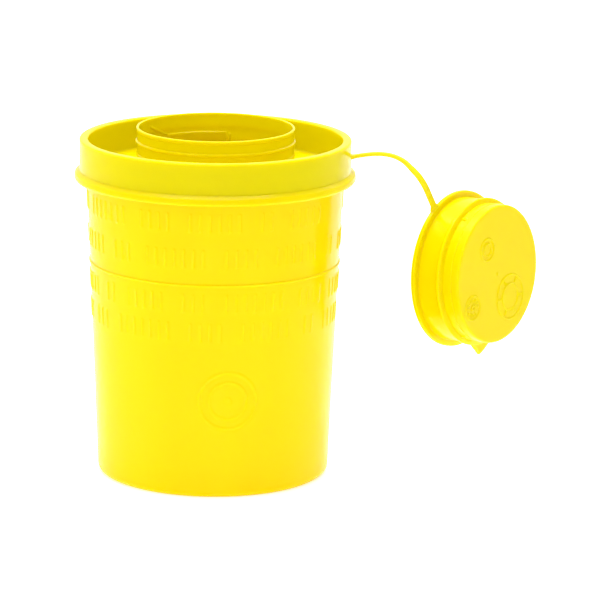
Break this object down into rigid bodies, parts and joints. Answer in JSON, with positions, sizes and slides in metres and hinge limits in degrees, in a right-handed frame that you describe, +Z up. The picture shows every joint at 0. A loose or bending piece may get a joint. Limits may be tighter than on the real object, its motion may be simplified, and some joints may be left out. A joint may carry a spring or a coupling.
{
  "type": "sharps container",
  "caption": "Tapered yellow plastic bucket with a press-on lid, open central neck and a plug cap hanging on a moulded strap, for used needles.",
  "frame": {"origin": "centre of the flat base that the container stands on", "axes": "+Z up along the bucket's axis, +X from the bucket's axis towards the strap's root on the lid, +Y to the back"},
  "size_m": [0.1793, 0.1078, 0.1344],
  "materials": {
    "container_plastic": "glossy translucent yellow polypropylene, faint mould texture",
    "lid_plastic": "glossy yellow polypropylene, slightly denser than the bucket"
  },
  "bodies": {
    "container": {"container_body": "container_plastic"},
    "lid": {"lid": "lid_plastic"},
    "strap_01": {"strap_01": "lid_plastic"},
    "strap_02": {"strap_02": "lid_plastic"},
    "strap_03": {"strap_03": "lid_plastic"},
    "strap_04": {"strap_04": "lid_plastic"},
    "strap_05": {"strap_05": "lid_plastic"},
    "strap_06": {"strap_06": "lid_plastic"},
    "strap_07": {"strap_07": "lid_plastic"},
    "strap_08": {"strap_08": "lid_plastic"},
    "strap_09": {"strap_09": "lid_plastic"},
    "strap_10": {"strap_10": "lid_plastic"},
    "strap_11": {"strap_11": "lid_plastic"},
    "cap": {"plug_cap": "lid_plastic"}
  },
  "joints": [
    {"name": "lid_lift", "type": "slide", "parent": "container", "child": "lid", "axis": [0, 0, 1], "range_m": [0, 0.04]},
    {"name": "strap_bend_01", "type": "hinge", "parent": "lid", "child": "strap_01", "pos_m": [0.05515, 0, 0.12401], "axis": [0, -1, 0], "range_deg": [0, 53.29], "stiffness_Nm_per_rad": 0.1, "springref_deg": 2.61},
    {"name": "strap_bend_02", "type": "hinge", "parent": "strap_01", "child": "strap_02", "pos_m": [0.05866, 0, 0.12456], "axis": [0, -1, 0], "range_deg": [0, 28.83], "stiffness_Nm_per_rad": 0.1, "springref_deg": 2.41},
    {"name": "strap_bend_03", "type": "hinge", "parent": "strap_02", "child": "strap_03", "pos_m": [0.0622, 0, 0.12481], "axis": [0, -1, 0], "range_deg": [0, 15.45], "stiffness_Nm_per_rad": 0.1, "springref_deg": 2.22},
    {"name": "strap_bend_04", "type": "hinge", "parent": "strap_03", "child": "strap_04", "pos_m": [0.06574, 0, 0.12456], "axis": [0, -1, 0], "range_deg": [0, 29.63], "stiffness_Nm_per_rad": 0.1, "springref_deg": 2.03},
    {"name": "strap_bend_05", "type": "hinge", "parent": "strap_04", "child": "strap_05", "pos_m": [0.06917, 0, 0.12364], "axis": [0, -1, 0], "range_deg": [0, 32.37], "stiffness_Nm_per_rad": 0.1, "springref_deg": 1.84},
    {"name": "strap_bend_06", "type": "hinge", "parent": "strap_05", "child": "strap_06", "pos_m": [0.07227, 0, 0.12192], "axis": [0, -1, 0], "range_deg": [0, 62.44], "stiffness_Nm_per_rad": 0.1, "springref_deg": 1.67},
    {"name": "strap_twist_07", "type": "hinge", "parent": "strap_06", "child": "strap_07", "pos_m": [0.07478, 0, 0.11941], "axis": [-0.7071, 0, 0.7071], "range_deg": [0, 46], "stiffness_Nm_per_rad": 0.1, "springref_deg": -0.4},
    {"name": "strap_bend_08", "type": "hinge", "parent": "strap_07", "child": "strap_08", "pos_m": [0.07729, 0, 0.1169], "axis": [-0.5087, -0.6947, -0.5087], "range_deg": [0, 24.47], "stiffness_Nm_per_rad": 0.1, "springref_deg": 0.69},
    {"name": "strap_bend_09", "type": "hinge", "parent": "strap_08", "child": "strap_09", "pos_m": [0.07931, 0.00062, 0.11404], "axis": [-0.5087, -0.6947, -0.5087], "range_deg": [0, 35.84], "stiffness_Nm_per_rad": 0.1, "springref_deg": 0.62},
    {"name": "strap_bend_10", "type": "hinge", "parent": "strap_09", "child": "strap_10", "pos_m": [0.08089, 0.00166, 0.11104], "axis": [0.5087, 0.6947, 0.5087], "range_deg": [0, 3.6], "stiffness_Nm_per_rad": 0.1, "springref_deg": -0.6},
    {"name": "strap_bend_11", "type": "hinge", "parent": "strap_10", "child": "strap_11", "pos_m": [0.08215, 0.00297, 0.10799], "axis": [0.5087, 0.6947, 0.5087], "range_deg": [0, 3], "stiffness_Nm_per_rad": 0.1, "springref_deg": -0.58},
    {"name": "strap_bend_12", "type": "hinge", "parent": "strap_11", "child": "cap", "pos_m": [0.08345, 0.00425, 0.10495], "axis": [0.5087, 0.6947, 0.5087], "range_deg": [0, 17.71], "stiffness_Nm_per_rad": 0.1, "springref_deg": -0.57}
  ]
}
